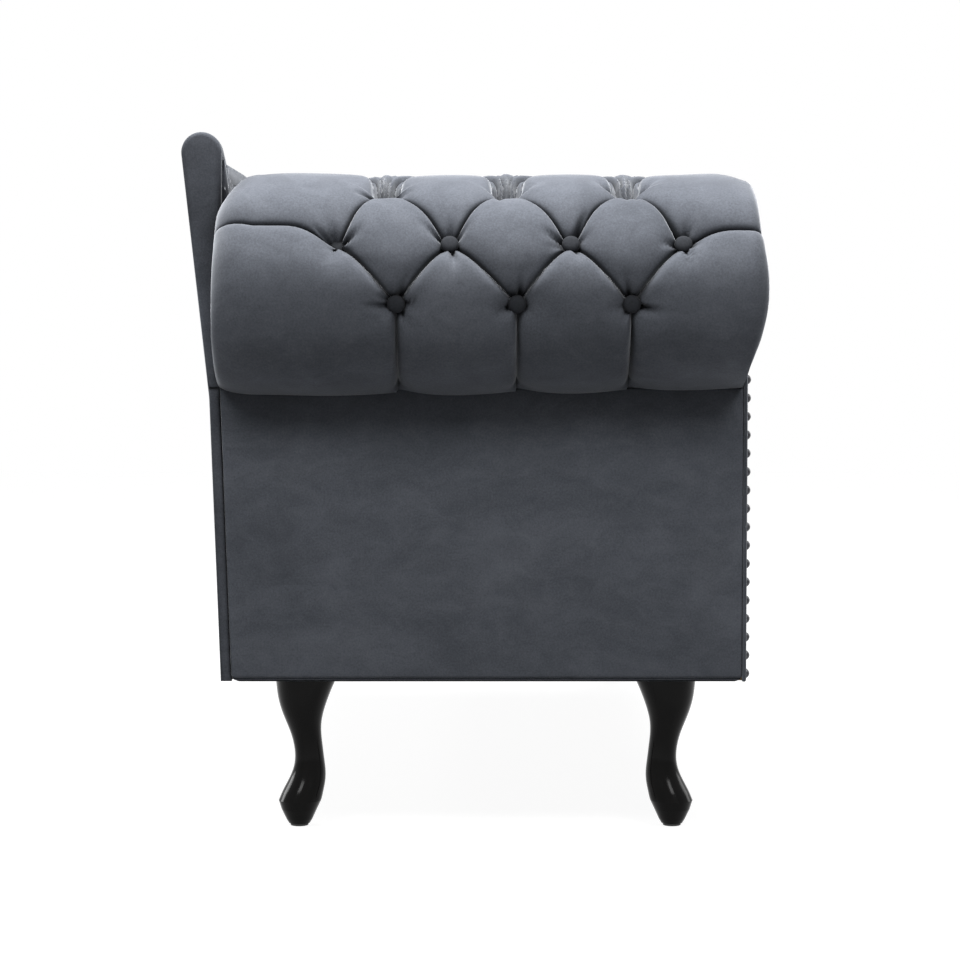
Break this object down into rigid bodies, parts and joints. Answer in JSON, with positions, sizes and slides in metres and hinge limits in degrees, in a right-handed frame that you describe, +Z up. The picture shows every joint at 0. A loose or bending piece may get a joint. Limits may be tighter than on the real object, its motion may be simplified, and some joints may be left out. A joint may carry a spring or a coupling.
{
  "type": "chaise longue",
  "caption": "Upholstered chaise longue with one deep-buttoned scroll arm, a sweeping buttoned back and curved lacquered legs.",
  "frame": {"origin": "on the floor, under the middle of the object's box", "axes": "X runs across the depth with the back at -X, Y along the length with the scroll arm at -Y, Z up"},
  "size_m": [0.6878, 1.64, 0.84],
  "materials": {
    "slate_velvet": "short-pile slate grey velvet with a soft nap",
    "velvet_piping": "velvet-covered piping cord",
    "button_velvet": "velvet stretched over a button shell",
    "black_lacquer": "gloss black lacquer on turned and carved wood",
    "frame_timber": "sawn softwood, unfinished",
    "frame_plywood": "plywood, unfinished",
    "zinc_steel": "zinc-plated steel",
    "glide_nylon": "moulded nylon",
    "dark_nailhead": "dark nickelled nailhead",
    "elastic_webbing": "woven elastic strap",
    "hessian": "open woven hessian",
    "seat_foam": "open-cell seat foam",
    "dust_cloth": "black non-woven cloth"
  },
  "bodies": {
    "root": {"arm_buttons": "button_velvet", "arm_drum_panel": "frame_plywood", "arm_end_panel": "slate_velvet", "arm_facing_board": "frame_plywood", "arm_front_facing": "slate_velvet", "arm_roll": "slate_velvet", "arm_scroll_board_front": "frame_plywood", "arm_scroll_board_rear": "frame_plywood", "arm_tack_rail": "frame_timber", "arm_top_rail": "frame_timber", "back_buttons": "button_velvet", "back_crest": "slate_velvet", "back_end_strip": "slate_velvet", "back_foot_border": "slate_velvet", "back_pad": "slate_velvet", "back_posts": "frame_timber", "back_tack_rails": "frame_timber", "back_top_rail": "frame_timber", "corner_blocks": "frame_timber", "cross_rails": "frame_timber", "dust_cover": "dust_cloth", "facing_nails": "dark_nailhead", "leg_bolts": "zinc_steel", "leg_foot_front": "black_lacquer", "leg_foot_rear": "black_lacquer", "leg_glides": "glide_nylon", "leg_head_front": "black_lacquer", "leg_head_rear": "black_lacquer", "leg_plate_screws": "zinc_steel", "leg_plates": "zinc_steel", "outside_back": "slate_velvet", "seat_border_foot": "slate_velvet", "seat_border_front": "slate_velvet", "seat_cushion": "slate_velvet", "seat_foam": "seat_foam", "seat_hessian": "hessian", "seat_rail_foot": "frame_timber", "seat_rail_front": "frame_timber", "seat_rail_head": "frame_timber", "seat_rail_inner": "frame_timber", "seat_rail_rear": "frame_timber", "seat_welt": "velvet_piping", "webbing_across": "elastic_webbing", "webbing_along": "elastic_webbing"}
  },
  "joints": []
}
